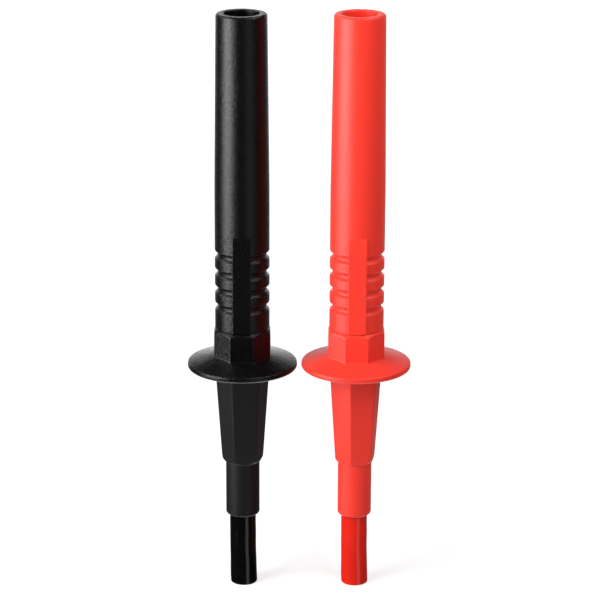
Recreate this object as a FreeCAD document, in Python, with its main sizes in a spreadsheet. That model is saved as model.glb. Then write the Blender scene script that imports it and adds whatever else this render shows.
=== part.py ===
import FreeCAD, Part
import math
import os
import Sketcher

# Pair of fused test probes, one black and one red, standing upright with their tips down.
# Millimetres. Z runs up each probe's axis, X from the black probe to the red one, and the
# origin is midway between the probes at the level of the tip caps' lower ends.

doc = FreeCAD.newDocument("FusedTestProbes")

# Driving sizes. Each can be changed by itself; all others are worked out from these.
DRIVING_SIZES = {
    # needle and its soft cap
    "needle_radius": 1.0,
    "needle_point_length": 4.0,
    "needle_tip_height": 3.8,
    "cap_needle_gap": 0.1,
    "cap_wall": 2.07,
    "cap_flare": 0.115,
    "cap_end_floor": 2.4,
    "cap_shown_length": 18.4,
    "cap_seat_depth": 2.6,
    "cap_seat_gap": 0.1,
    "cap_side_gap": 0.13,
    "cap_edge_round": 0.3,
    # nose: snout, hexagonal taper and threaded spigot
    "snout_wall": 0.79,
    "snout_length": 13.6,
    "snout_edge_round": 0.4,
    "hex_length": 24.25,
    "hex_foot_ledge": 0.27,
    "hex_shoulder_ledge": 1.07,
    "hex_corner_round": 0.35,
    "hex_foot_chamfer": 0.65,
    "black_nose_turn": -22.0,
    "red_nose_turn": -13.0,
    "spigot_wall": 1.25,
    "spigot_length": 11.7,
    "spigot_lead": 0.5,
    # front contact that the fuse stands on
    "contact_seat_height": 4.25,
    "contact_head_height": 1.5,
    "contact_stem_wall": 1.0,
    "contact_stem_length": 18.5,
    "needle_socket_depth": 10.0,
    # cartridge fuse, 6.3 by 32
    "fuse_radius": 3.175,
    "fuse_length": 32.0,
    "fuse_end_length": 6.0,
    "fuse_end_wall": 0.3,
    "fuse_glass_wall": 0.55,
    "fuse_wire_radius": 0.15,
    "fuse_spigot_gap": 0.275,
    "fuse_chamber_gap": 0.325,
    # finger guard: round disc and eight-sided collar
    "guard_seat_gap": 0.05,
    "guard_height": 10.2,
    "disc_radius": 13.15,
    "disc_rim_thickness": 1.34,
    "disc_crown": 3.1,
    "collar_wall": 1.135,
    "collar_draft": 0.04,
    "collar_corner_round": 0.3,
    "collar_chamfer": 0.55,
    "key_width": 1.6,
    "key_height": 0.5,
    # handle
    "thread_gap": 0.05,
    "thread_room": 1.0,
    "neck_wall": 0.75,
    "neck_gap": 0.05,
    "neck_end_gap": 0.25,
    "handle_wall": 3.0,
    "groove_first_height": 5.4,
    "groove_pitch": 4.233,
    "groove_count": 4,
    "groove_mouth": 2.05,
    "groove_floor": 0.7,
    "groove_depth": 0.72,
    "groove_mouth_round": 0.2,
    "strip_width": 4.2,
    "strip_length": 23.5,
    "strip_stand_out": 0.1,
    "strip_root_depth": 1.5,
    "strip_edge_round": 0.18,
    "rear_taper_length": 41.2,
    "rear_wall": 1.88,
    "rear_lip_round": 0.55,
    "rear_mouth_round": 0.45,
    # plug socket in the rear, for a 4 mm plug with a fixed shroud
    "plug_radius": 2.0,
    "socket_wall": 0.8,
    "socket_depth": 20.0,
    "socket_floor": 2.0,
    "socket_recess": 6.2,
    "socket_lead": 0.35,
    "shroud_gap": 1.35,
    "web_thickness": 7.0,
    "stem_radius": 1.6,
    "stem_end_length": 0.8,
    "seat_slip": 0.02,
    "nut_flats_radius": 2.75,
    "nut_height": 2.4,
    # contact spring
    "spring_room": 10.6,
    "spring_wire_radius": 0.35,
    "spring_coil_radius": 2.4,
    "spring_turns": 6.0,
    "spring_end_gap": 0.05,
    # the pair
    "disc_to_disc_gap": 1.0,
}

# Worked-out radii and heights. Heights are measured from the lower end of the caps.
WORKED_OUT_SIZES = {
    "cap_bore": "size.needle_radius + size.cap_needle_gap",
    "cap_top_radius": "place.cap_bore + size.cap_wall",
    "cap_foot_radius": "place.cap_top_radius + size.cap_flare",
    "snout_foot": "size.cap_shown_length",
    "cap_seat": "place.snout_foot + size.cap_seat_depth",
    "cap_top": "place.cap_seat - size.cap_seat_gap",
    "needle_shoulder": "size.needle_tip_height + size.needle_point_length",
    "snout_bore": "place.cap_top_radius + size.cap_side_gap",
    "snout_radius": "place.snout_bore + size.snout_wall",
    "hex_foot": "place.snout_foot + size.snout_length",
    "hex_top": "place.hex_foot + size.hex_length",
    "spigot_bore": "size.fuse_radius + size.fuse_spigot_gap",
    "spigot_radius": "place.spigot_bore + size.spigot_wall",
    "spigot_lead_radius": "place.spigot_radius - size.spigot_lead",
    "spigot_top": "place.hex_top + size.spigot_length",
    "spigot_lead_foot": "place.spigot_top - size.spigot_lead",
    "hex_foot_flats": "place.snout_radius + size.hex_foot_ledge",
    "hex_top_flats": "place.spigot_radius + size.hex_shoulder_ledge",
    "hex_foot_corner": "place.hex_foot_flats / cos(30 deg)",
    "hex_foot_chamfer_top": "place.hex_foot + size.hex_foot_chamfer",
    "hex_slope": "atan((place.hex_top_flats - place.hex_foot_flats) / size.hex_length)",
    "contact_foot": "place.hex_top + size.contact_seat_height",
    "fuse_foot": "place.contact_foot + size.contact_head_height",
    "contact_stem_radius": "size.needle_radius + size.contact_stem_wall",
    "contact_stem_foot": "place.contact_foot - size.contact_stem_length",
    "needle_top": "place.contact_stem_foot + size.needle_socket_depth",
    "stem_hole": "place.contact_stem_radius + size.seat_slip",
    "needle_hole": "size.needle_radius + size.seat_slip",
    "fuse_top": "place.fuse_foot + size.fuse_length",
    "glass_radius": "size.fuse_radius - size.fuse_end_wall - size.seat_slip",
    "glass_bore": "place.glass_radius - size.fuse_glass_wall",
    "fuse_end_bore": "size.fuse_radius - size.fuse_end_wall",
    "glass_foot": "place.fuse_foot + size.fuse_end_wall",
    "glass_top": "place.fuse_top - size.fuse_end_wall",
    "front_end_top": "place.fuse_foot + size.fuse_end_length",
    "rear_end_foot": "place.fuse_top - size.fuse_end_length",
    "guard_foot": "place.hex_top + size.guard_seat_gap",
    "shoulder": "place.guard_foot + size.guard_height",
    "disc_rim_radius": "size.disc_radius - 0.5 * size.disc_rim_thickness",
    "disc_rim_top": "place.guard_foot + size.disc_rim_thickness",
    "disc_crown_top": "place.guard_foot + size.disc_crown",
    "thread_bore": "place.spigot_radius + size.thread_gap",
    "thread_end": "place.spigot_top + size.thread_room",
    "neck_radius": "place.thread_bore + size.neck_wall",
    "neck_foot": "place.guard_foot + size.neck_end_gap",
    "guard_bore": "place.neck_radius + size.neck_gap",
    "collar_flats": "place.guard_bore + size.collar_wall",
    "collar_foot_flats": "place.collar_flats + size.collar_draft",
    "collar_height": "place.shoulder - place.disc_rim_top",
    "collar_slope": "atan(size.collar_draft / place.collar_height)",
    "chamfer_inner": "place.collar_flats - size.collar_chamfer",
    "chamfer_outer": "place.collar_flats + 1.5 * size.collar_chamfer",
    "chamfer_foot": "place.shoulder - 2.5 * size.collar_chamfer",
    "chamfer_over": "place.shoulder + size.collar_chamfer",
    "key_face": "place.neck_radius + size.key_height",
    "key_root": "place.neck_radius - 0.5 * size.neck_wall",
    "keyway_width": "size.key_width + 2 * size.neck_gap",
    "keyway_face": "place.key_face + size.neck_gap",
    "neck_length": "place.shoulder - place.neck_foot",
    "chamber_radius": "size.fuse_radius + size.fuse_chamber_gap",
    "handle_radius": "place.chamber_radius + size.handle_wall",
    "nut_foot": "place.fuse_top + size.spring_room",
    "web_foot": "place.nut_foot + size.nut_height",
    "web_top": "place.web_foot + size.web_thickness",
    "socket_bore_foot": "place.web_top + size.socket_floor",
    "socket_top": "place.socket_bore_foot + size.socket_depth",
    "rear_end": "place.socket_top + size.socket_recess",
    "taper_foot": "place.rear_end - size.rear_taper_length",
    "socket_radius": "size.plug_radius + size.socket_wall",
    "socket_lead_radius": "size.plug_radius + size.socket_lead",
    "socket_lead_foot": "place.socket_top - size.socket_lead",
    "shroud_bore": "place.socket_radius + size.shroud_gap",
    "rear_radius": "place.shroud_bore + size.rear_wall",
    "web_hole": "size.stem_radius + size.seat_slip",
    "stem_foot": "place.nut_foot - size.stem_end_length",
    "groove_middle": "place.shoulder + size.groove_first_height",
    "groove_low": "place.groove_middle - 0.5 * size.groove_mouth",
    "groove_high": "place.groove_middle + 0.5 * size.groove_mouth",
    "groove_floor_low": "place.groove_middle - 0.5 * size.groove_floor",
    "groove_floor_high": "place.groove_middle + 0.5 * size.groove_floor",
    "groove_radius": "place.handle_radius - size.groove_depth",
    "groove_span": "size.groove_pitch * (size.groove_count - 1)",
    "strip_root": "place.handle_radius - size.strip_root_depth",
    "strip_face": "place.handle_radius + size.strip_stand_out",
    "spring_foot": "place.fuse_top + size.spring_end_gap + size.spring_wire_radius",
    "spring_top": "place.nut_foot - size.spring_end_gap - size.spring_wire_radius",
    "spring_height": "place.spring_top - place.spring_foot",
    "spring_pitch": "place.spring_height / size.spring_turns",
    "axis_offset": "size.disc_radius + 0.5 * size.disc_to_disc_gap",
}

ON_AXIS = "on axis"
ON_FLOOR = "on floor"
ARC = "arc"
WIRE_SIDES = 6
MATCH = 1e-4

size = doc.addObject("Spreadsheet::Sheet", "size")
for row, (name, number) in enumerate(DRIVING_SIZES.items(), start=1):
    size.set(f"A{row}", name)
    size.set(f"B{row}", str(number))
    size.setAlias(f"B{row}", name)
doc.recompute()

place = doc.addObject("App::VarSet", "place")
for name, formula in WORKED_OUT_SIZES.items():
    place.addProperty("App::PropertyFloat", name)
    place.setExpression(name, formula)
doc.recompute()


def read(link):
    """The present value of a named size, such as size.fuse_length or place.hex_top."""
    if link in (ON_AXIS, ON_FLOOR):
        return 0.0
    holder, name = link.split(".")
    if holder == "size":
        return float(size.get(name))
    return getattr(place, name)


def new_body(label):
    body = doc.addObject("PartDesign::Body", label)
    body.Label = label
    return body


def origin_plane(body, role):
    return next(item for item in body.Origin.OriginFeatures if item.Role == role)


def new_sketch(body, name, role, height=None):
    """A sketch on one of its body's own origin planes, raised to a named height if one is given."""
    sketch = body.newObject("Sketcher::SketchObject", f"{body.Label}_{name}")
    sketch.AttachmentSupport = [(origin_plane(body, role), "")]
    sketch.MapMode = "FlatFace"
    if height:
        sketch.setExpression("AttachmentOffset.Base.z", height)
    doc.recompute()
    return sketch


def bind(sketch, constraint, link):
    """Add a dimension to a sketch and tie it to a named size."""
    index = sketch.addConstraint(constraint)
    sketch.setExpression(f"Constraints[{index}]", link)


def tangent_arc(before, start, end):
    """An arc from start to end that leaves start in the direction of the line before-start.

    Returns the arc and whether it runs anticlockwise from start to end.
    """
    along = (start - before).normalize()
    across = FreeCAD.Vector(-along.y, along.x, 0)
    chord = end - start
    radius = chord.dot(chord) / (2 * chord.dot(across))
    centre = start + across * radius
    circle = Part.Circle(centre, FreeCAD.Vector(0, 0, 1), abs(radius))
    from_start = circle.parameter(start)
    from_end = circle.parameter(end)
    if radius > 0:
        return Part.ArcOfCircle(circle, from_start, from_end), True
    return Part.ArcOfCircle(circle, from_end, from_start), False


def draw_profile(sketch, corners):
    """Draw a closed half-section: each corner is a named radius and height.

    A corner marked ARC is reached by an arc tangent to the line before it.
    """
    points = [FreeCAD.Vector(read(corner[0]), read(corner[1]), 0) for corner in corners]
    ends = []
    for index, start in enumerate(points):
        following = (index + 1) % len(points)
        if ARC in corners[following]:
            arc, forward = tangent_arc(points[index - 1], start, points[following])
            ends.append((sketch.addGeometry(arc), 1 if forward else 2, 2 if forward else 1))
        else:
            line = Part.LineSegment(start, points[following])
            ends.append((sketch.addGeometry(line), 1, 2))
    for index, (edge, start_end, _) in enumerate(ends):
        before, _, before_end = ends[index - 1]
        reached = (before, before_end, edge, start_end)
        tangent = ARC in corners[(index + 1) % len(corners)]
        sketch.addConstraint(Sketcher.Constraint("Tangent" if tangent else "Coincident", *reached))
        radius, height = corners[index][0], corners[index][1]
        if radius == ON_AXIS:
            sketch.addConstraint(Sketcher.Constraint("PointOnObject", edge, start_end, -2))
        else:
            spot = (-1, 1, edge, start_end, read(radius))
            bind(sketch, Sketcher.Constraint("DistanceX", *spot), radius)
        if height == ON_FLOOR:
            sketch.addConstraint(Sketcher.Constraint("PointOnObject", edge, start_end, -1))
        else:
            spot = (-1, 1, edge, start_end, read(height))
            bind(sketch, Sketcher.Constraint("DistanceY", *spot), height)


def draw_polygon(sketch, sides, flats_radius, flat_to_front, middle=None):
    """Draw a regular polygon by its radius to the flats, with a flat or a corner to the front.

    Its middle is the sketch's origin, or a named radius and height.
    """
    rim = f"{flats_radius} / cos(180 deg / {sides})"
    centre = FreeCAD.Vector(read(middle[0]), read(middle[1]), 0) if middle else FreeCAD.Vector()
    outer = read(flats_radius) / math.cos(math.pi / sides)
    first = -90 + 180 / sides if flat_to_front else -90
    turns = [math.radians(first + 360 * step / sides) for step in range(sides)]
    corners = [FreeCAD.Vector(outer * math.cos(turn), outer * math.sin(turn), 0) for turn in turns]
    points = [centre + corner for corner in corners]
    for index, start in enumerate(points):
        sketch.addGeometry(Part.LineSegment(start, points[(index + 1) % sides]))
    around = sketch.addGeometry(Part.Circle(centre, FreeCAD.Vector(0, 0, 1), outer), True)
    if middle:
        bind(sketch, Sketcher.Constraint("DistanceX", -1, 1, around, 3, centre.x), middle[0])
        bind(sketch, Sketcher.Constraint("DistanceY", -1, 1, around, 3, centre.y), middle[1])
    else:
        sketch.addConstraint(Sketcher.Constraint("Coincident", around, 3, -1, 1))
    for side in range(sides):
        sketch.addConstraint(Sketcher.Constraint("Coincident", side, 2, (side + 1) % sides, 1))
        sketch.addConstraint(Sketcher.Constraint("PointOnObject", side, 1, around))
        if side:
            sketch.addConstraint(Sketcher.Constraint("Equal", side - 1, side))
    if flat_to_front:
        sketch.addConstraint(Sketcher.Constraint("Horizontal", sides - 1))
    else:
        sketch.addConstraint(Sketcher.Constraint("PointOnObject", 0, 1, -2))
    bind(sketch, Sketcher.Constraint("Radius", around, outer), rim)


def draw_block(sketch, width, near, far):
    """Draw a rectangle centred on the sketch's upright axis, between two named distances."""
    half = read(width) / 2
    low, high = read(near), read(far)
    corners = [(-half, low), (half, low), (half, high), (-half, high)]
    points = [FreeCAD.Vector(across, along, 0) for across, along in corners]
    for index, start in enumerate(points):
        sketch.addGeometry(Part.LineSegment(start, points[(index + 1) % 4]))
    for side in range(4):
        sketch.addConstraint(Sketcher.Constraint("Coincident", side, 2, (side + 1) % 4, 1))
    sketch.addConstraint(Sketcher.Constraint("Horizontal", 2))
    for side in (1, 3):
        sketch.addConstraint(Sketcher.Constraint("Vertical", side))
    sketch.addConstraint(Sketcher.Constraint("Symmetric", 0, 1, 0, 2, -2))
    bind(sketch, Sketcher.Constraint("DistanceX", 0, 1, 0, 2, 2 * half), width)
    bind(sketch, Sketcher.Constraint("DistanceY", -1, 1, 0, 1, low), near)
    bind(sketch, Sketcher.Constraint("DistanceY", -1, 1, 2, 1, high), far)


def add_turned(body, name, corners):
    """Add the solid that a half-section makes when it is turned about the probe's axis."""
    sketch = new_sketch(body, f"{name}_section", "XZ_Plane")
    draw_profile(sketch, corners)
    turned = body.newObject("PartDesign::Revolution", f"{body.Label}_{name}")
    turned.Profile = sketch
    turned.ReferenceAxis = (sketch, ["V_Axis"])
    turned.Angle = 360
    doc.recompute()
    return turned


def cut_turned(body, name, corners):
    """Cut away what a half-section sweeps when it is turned about the probe's axis."""
    before = body.Shape.Volume
    sketch = new_sketch(body, f"{name}_section", "XZ_Plane")
    draw_profile(sketch, corners)
    groove = body.newObject("PartDesign::Groove", f"{body.Label}_{name}")
    groove.Profile = sketch
    groove.ReferenceAxis = (sketch, ["V_Axis"])
    groove.Angle = 360
    doc.recompute()
    check_cut(body, name, before)
    return groove


def check_cut(body, name, before):
    if body.Shape.Volume > before - MATCH:
        raise RuntimeError(f"{body.Label}: {name} removed nothing")


def start_tapered_polygon(body, name, sides, foot_flats, foot, length, slope, flat_to_front, widens):
    """Start a body with an upright prism and lean its sides by a worked-out slope.

    The sides lean outwards where the prism widens upwards, and inwards where it doesn't.
    """
    sketch = new_sketch(body, f"{name}_outline", "XY_Plane", foot)
    draw_polygon(sketch, sides, foot_flats, flat_to_front)
    pad = body.newObject("PartDesign::Pad", f"{body.Label}_{name}")
    pad.Profile = sketch
    pad.setExpression("Length", length)
    doc.recompute()
    low = read(foot)
    high = low + read(length)
    faces = {f"Face{number}": face for number, face in enumerate(pad.Shape.Faces, 1)}

    def is_side(face):
        return abs(face.normalAt(0, 0).z) < MATCH and abs(face.BoundBox.ZMax - high) < MATCH

    def is_foot(face):
        return face.BoundBox.ZLength < MATCH and abs(face.BoundBox.ZMin - low) < MATCH

    draft = body.newObject("PartDesign::Draft", f"{body.Label}_{name}_taper")
    draft.Base = (pad, [key for key, face in faces.items() if is_side(face)])
    draft.NeutralPlane = (pad, [key for key, face in faces.items() if is_foot(face)][:1])
    draft.Reversed = widens
    draft.setExpression("Angle", slope)
    doc.recompute()
    return draft


def add_block(body, name, width, near, far, height, length):
    """Add an upright block: a rectangle at a named height, padded upwards by a named length."""
    sketch = new_sketch(body, f"{name}_outline", "XY_Plane", height)
    draw_block(sketch, width, near, far)
    pad = body.newObject("PartDesign::Pad", f"{body.Label}_{name}")
    pad.Profile = sketch
    pad.setExpression("Length", length)
    doc.recompute()
    return pad


def cut_block(body, name, width, near, far, height, length):
    """Cut an upright block, from a named height upwards by a named length."""
    before = body.Shape.Volume
    sketch = new_sketch(body, f"{name}_outline", "XY_Plane", height)
    draw_block(sketch, width, near, far)
    pocket = body.newObject("PartDesign::Pocket", f"{body.Label}_{name}")
    pocket.Profile = sketch
    pocket.Reversed = True
    pocket.setExpression("Length", length)
    doc.recompute()
    check_cut(body, name, before)
    return pocket


def round_edges(body, name, radius, wanted):
    """Round every edge of the body that the given test picks."""
    base = body.Tip
    names = [f"Edge{number}" for number, edge in enumerate(base.Shape.Edges, 1) if wanted(edge)]
    if not names:
        raise RuntimeError(f"{body.Label}: {name} found no edge")
    fillet = body.newObject("PartDesign::Fillet", f"{body.Label}_{name}")
    fillet.Base = (base, names)
    fillet.setExpression("Radius", radius)
    doc.recompute()


def ring(radius, *heights):
    """A test for the circular edges of a named radius at any of the given heights."""
    wide = read(radius)

    def wanted(edge):
        if not isinstance(edge.Curve, Part.Circle) or abs(edge.Curve.Radius - wide) > MATCH:
            return False
        return any(abs(edge.Curve.Center.z - height) < MATCH for height in heights)

    return wanted


def between(low, high):
    """A test for the edges that run from one named height to another."""
    foot, top = read(low), read(high)

    def wanted(edge):
        box = edge.BoundBox
        return abs(box.ZMin - foot) < MATCH and abs(box.ZMax - top) < MATCH

    return wanted


def make_tip_cap(label):
    """Soft sleeve with a closed end, pushed over the needle and into the snout."""
    body = new_body(label)
    add_turned(body, "sleeve", [
        (ON_AXIS, ON_FLOOR),
        ("place.cap_foot_radius", ON_FLOOR),
        ("place.cap_top_radius", "place.snout_foot"),
        ("place.cap_top_radius", "place.cap_top"),
        ("place.cap_bore", "place.cap_top"),
        ("place.cap_bore", "size.cap_end_floor"),
        (ON_AXIS, "size.cap_end_floor"),
    ])
    round_edges(body, "end_round", "size.cap_edge_round", ring("place.cap_foot_radius", 0.0))
    return body


def make_needle(label):
    """Stainless needle, pressed into the front contact."""
    body = new_body(label)
    add_turned(body, "pin", [
        (ON_AXIS, "size.needle_tip_height"),
        ("size.needle_radius", "place.needle_shoulder"),
        ("size.needle_radius", "place.needle_top"),
        (ON_AXIS, "place.needle_top"),
    ])
    return body


def make_front_contact(label):
    """Brass contact: a flat head under the fuse and a stem that holds the needle."""
    body = new_body(label)
    add_turned(body, "contact", [
        ("place.needle_hole", "place.contact_stem_foot"),
        ("place.contact_stem_radius", "place.contact_stem_foot"),
        ("place.contact_stem_radius", "place.contact_foot"),
        ("size.fuse_radius", "place.contact_foot"),
        ("size.fuse_radius", "place.fuse_foot"),
        (ON_AXIS, "place.fuse_foot"),
        (ON_AXIS, "place.needle_top"),
        ("place.needle_hole", "place.needle_top"),
    ])
    return body


def make_nose(label, turn):
    """Screw-on nose: snout, hexagonal taper for the fingers, and a spigot for the thread."""
    body = new_body(label)
    start_tapered_polygon(body, "hexagon", 6, "place.hex_foot_flats", "place.hex_foot",
                          "size.hex_length", "place.hex_slope", flat_to_front=False, widens=True)
    round_edges(body, "corner_rounds", "size.hex_corner_round", between("place.hex_foot", "place.hex_top"))
    cut_turned(body, "foot_chamfer", [
        ("place.hex_foot_flats", "place.hex_foot"),
        ("place.hex_foot_corner", "place.hex_foot"),
        ("place.hex_foot_corner", "place.hex_foot_chamfer_top"),
    ])
    add_turned(body, "spindle", [
        (ON_AXIS, "place.snout_foot"),
        ("place.snout_radius", "place.snout_foot"),
        ("place.snout_radius", "place.hex_top"),
        ("place.spigot_radius", "place.hex_top"),
        ("place.spigot_radius", "place.spigot_lead_foot"),
        ("place.spigot_lead_radius", "place.spigot_top"),
        (ON_AXIS, "place.spigot_top"),
    ])
    round_edges(body, "snout_round", "size.snout_edge_round",
                ring("place.snout_radius", read("place.snout_foot")))
    cut_turned(body, "bore", [
        (ON_AXIS, "place.snout_foot"),
        ("place.snout_bore", "place.snout_foot"),
        ("place.snout_bore", "place.cap_seat"),
        ("place.needle_hole", "place.cap_seat"),
        ("place.needle_hole", "place.contact_stem_foot"),
        ("place.stem_hole", "place.contact_stem_foot"),
        ("place.stem_hole", "place.contact_foot"),
        ("place.spigot_bore", "place.contact_foot"),
        ("place.spigot_bore", "place.spigot_top"),
        (ON_AXIS, "place.spigot_top"),
    ])
    body.Placement = FreeCAD.Placement(FreeCAD.Vector(), FreeCAD.Rotation(FreeCAD.Vector(0, 0, 1), 1))
    body.setExpression("Placement.Rotation.Angle", turn)
    return body


def make_fuse_end(label, face, skirt):
    """Metal end of the fuse: a shallow cup, from its closed face to its skirt's edge."""
    face_inside = "place.glass_foot" if face == "place.fuse_foot" else "place.glass_top"
    body = new_body(label)
    add_turned(body, "cup", [
        (ON_AXIS, face),
        ("size.fuse_radius", face),
        ("size.fuse_radius", skirt),
        ("place.fuse_end_bore", skirt),
        ("place.fuse_end_bore", face_inside),
        (ON_AXIS, face_inside),
    ])
    return body


def make_fuse_glass(label):
    body = new_body(label)
    add_turned(body, "tube", [
        ("place.glass_bore", "place.glass_foot"),
        ("place.glass_radius", "place.glass_foot"),
        ("place.glass_radius", "place.glass_top"),
        ("place.glass_bore", "place.glass_top"),
    ])
    return body


def make_fuse_wire(label):
    body = new_body(label)
    add_turned(body, "strand", [
        (ON_AXIS, "place.glass_foot"),
        ("size.fuse_wire_radius", "place.glass_foot"),
        ("size.fuse_wire_radius", "place.glass_top"),
        (ON_AXIS, "place.glass_top"),
    ])
    return body


def make_finger_guard(label):
    """Round guard disc and eight-sided collar in one piece, keyed to the handle's neck."""
    body = new_body(label)
    start_tapered_polygon(body, "collar", 8, "place.collar_foot_flats", "place.disc_rim_top",
                          "place.collar_height", "place.collar_slope", flat_to_front=True, widens=False)
    round_edges(body, "corner_rounds", "size.collar_corner_round",
                between("place.disc_rim_top", "place.shoulder"))
    add_turned(body, "disc", [
        (ON_AXIS, "place.guard_foot"),
        ("place.disc_rim_radius", "place.guard_foot"),
        ("place.disc_rim_radius", "place.disc_rim_top", ARC),
        ("place.collar_flats", "place.disc_crown_top"),
        (ON_AXIS, "place.disc_crown_top"),
    ])
    cut_turned(body, "top_chamfer", [
        ("place.chamfer_inner", "place.shoulder"),
        ("place.chamfer_outer", "place.chamfer_foot"),
        ("place.chamfer_outer", "place.chamfer_over"),
        ("place.chamfer_inner", "place.chamfer_over"),
    ])
    cut_turned(body, "bore", [
        (ON_AXIS, "place.guard_foot"),
        ("place.guard_bore", "place.guard_foot"),
        ("place.guard_bore", "place.shoulder"),
        (ON_AXIS, "place.shoulder"),
    ])
    cut_block(body, "keyway", "place.keyway_width", "place.key_root", "place.keyway_face",
              "place.guard_foot", "size.guard_height")
    return body


def make_handle(label):
    """Handle: neck, ribbed grip with its bridging strips, fuse chamber, web and rear shroud."""
    body = new_body(label)
    add_turned(body, "barrel", [
        ("place.thread_bore", "place.neck_foot"),
        ("place.neck_radius", "place.neck_foot"),
        ("place.neck_radius", "place.shoulder"),
        ("place.handle_radius", "place.shoulder"),
        ("place.handle_radius", "place.taper_foot"),
        ("place.rear_radius", "place.rear_end"),
        ("place.shroud_bore", "place.rear_end"),
        ("place.shroud_bore", "place.web_top"),
        ("place.web_hole", "place.web_top"),
        ("place.web_hole", "place.web_foot"),
        ("place.chamber_radius", "place.web_foot"),
        ("place.chamber_radius", "place.thread_end"),
        ("place.thread_bore", "place.thread_end"),
    ])
    groove = cut_turned(body, "grip_groove", [
        ("place.handle_radius", "place.groove_low"),
        ("place.handle_radius", "place.groove_high"),
        ("place.groove_radius", "place.groove_floor_high"),
        ("place.groove_radius", "place.groove_floor_low"),
    ])
    grooves = body.newObject("PartDesign::LinearPattern", f"{label}_grip_grooves")
    grooves.Originals = [groove]
    grooves.Direction = (groove.Profile[0], ["V_Axis"])
    grooves.setExpression("Length", "place.groove_span")
    grooves.setExpression("Occurrences", "size.groove_count")
    body.Tip = grooves
    doc.recompute()
    steps = [index * read("size.groove_pitch") for index in range(int(read("size.groove_count")))]
    mouths = [read(edge) + step for step in steps
              for edge in ("place.groove_low", "place.groove_high")]
    round_edges(body, "groove_mouths", "size.groove_mouth_round", ring("place.handle_radius", *mouths))
    strip = add_block(body, "back_strip", "size.strip_width", "place.strip_root", "place.strip_face",
                      "place.shoulder", "size.strip_length")
    add_block(body, "key", "size.key_width", "place.key_root", "place.key_face",
              "place.neck_foot", "place.neck_length")
    front = body.newObject("PartDesign::Mirrored", f"{label}_front_strip")
    front.Originals = [strip]
    front.MirrorPlane = (origin_plane(body, "XZ_Plane"), [""])
    body.Tip = front
    doc.recompute()
    face = read("place.strip_face")

    def strip_edge(edge):
        middle = edge.valueAt((edge.FirstParameter + edge.LastParameter) / 2)
        straight = isinstance(edge.Curve, Part.Line)
        return straight and abs(abs(middle.y) - face) < MATCH and middle.z > read("place.shoulder") + MATCH

    round_edges(body, "strip_rounds", "size.strip_edge_round", strip_edge)
    round_edges(body, "lip_round", "size.rear_lip_round", ring("place.rear_radius", read("place.rear_end")))
    round_edges(body, "mouth_round", "size.rear_mouth_round",
                ring("place.shroud_bore", read("place.rear_end")))
    return body


def make_socket(label):
    """Brass socket for the lead's plug, with a stem that passes through the handle's web."""
    body = new_body(label)
    add_turned(body, "socket", [
        (ON_AXIS, "place.stem_foot"),
        ("size.stem_radius", "place.stem_foot"),
        ("size.stem_radius", "place.web_top"),
        ("place.socket_radius", "place.web_top"),
        ("place.socket_radius", "place.socket_top"),
        ("place.socket_lead_radius", "place.socket_top"),
        ("size.plug_radius", "place.socket_lead_foot"),
        ("size.plug_radius", "place.socket_bore_foot"),
        (ON_AXIS, "place.socket_bore_foot"),
    ])
    return body


def make_socket_nut(label):
    """Nut on the socket's stem, which is also the spring's upper seat."""
    body = new_body(label)
    sketch = new_sketch(body, "outline", "XY_Plane", "place.nut_foot")
    draw_polygon(sketch, 6, "size.nut_flats_radius", flat_to_front=False)
    pad = body.newObject("PartDesign::Pad", f"{label}_hexagon")
    pad.Profile = sketch
    pad.setExpression("Length", "size.nut_height")
    doc.recompute()
    cut_turned(body, "bore", [
        (ON_AXIS, "place.nut_foot"),
        ("place.web_hole", "place.nut_foot"),
        ("place.web_hole", "place.web_foot"),
        (ON_AXIS, "place.web_foot"),
    ])
    return body


def make_contact_spring(label):
    """Helical spring that presses the fuse onto the front contact, its round wire as a hexagon."""
    body = new_body(label)
    sketch = new_sketch(body, "wire_section", "XZ_Plane")
    draw_polygon(sketch, WIRE_SIDES, "size.spring_wire_radius", flat_to_front=True,
                 middle=("size.spring_coil_radius", "place.spring_foot"))
    coil = body.newObject("PartDesign::AdditiveHelix", f"{label}_coil")
    coil.Profile = sketch
    coil.ReferenceAxis = (sketch, ["V_Axis"])
    coil.Mode = "pitch-height-angle"
    coil.setExpression("Pitch", "place.spring_pitch")
    coil.setExpression("Height", "place.spring_height")
    doc.recompute()
    return body


def make_probe(side, offset):
    """All the pieces of one probe, moved sideways to its own axis."""
    bodies = [
        make_handle(f"{side}_handle"),
        make_socket(f"{side}_socket"),
        make_socket_nut(f"{side}_socket_nut"),
        make_contact_spring(f"{side}_contact_spring"),
        make_finger_guard(f"{side}_finger_guard"),
        make_fuse_glass(f"{side}_fuse_glass"),
        make_fuse_wire(f"{side}_fuse_wire"),
        make_fuse_end(f"{side}_fuse_front_end", "place.fuse_foot", "place.front_end_top"),
        make_fuse_end(f"{side}_fuse_rear_end", "place.fuse_top", "place.rear_end_foot"),
        make_nose(f"{side}_nose", f"size.{side}_nose_turn"),
        make_front_contact(f"{side}_front_contact"),
        make_needle(f"{side}_needle"),
        make_tip_cap(f"{side}_tip_cap"),
    ]
    for body in bodies:
        body.setExpression("Placement.Base.x", offset)
    return bodies


def check_and_export(bodies):
    """Stop on any failed object or bad shape, then write one file for each piece."""
    doc.recompute()
    for item in doc.Objects:
        if "Invalid" in item.State or "Error" in item.State:
            raise RuntimeError(f"{item.Label} failed: {item.State}")
    for body in bodies:
        shape = body.Shape
        if shape.isNull() or not shape.isValid() or len(shape.Solids) != 1:
            raise RuntimeError(f"{body.Label} isn't one valid solid")
    os.makedirs("parts", exist_ok=True)
    for body in bodies:
        body.Shape.exportStep(f"parts/{body.Label}.step")


probes = make_probe("black", "-place.axis_offset") + make_probe("red", "place.axis_offset")
check_and_export(probes)
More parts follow.
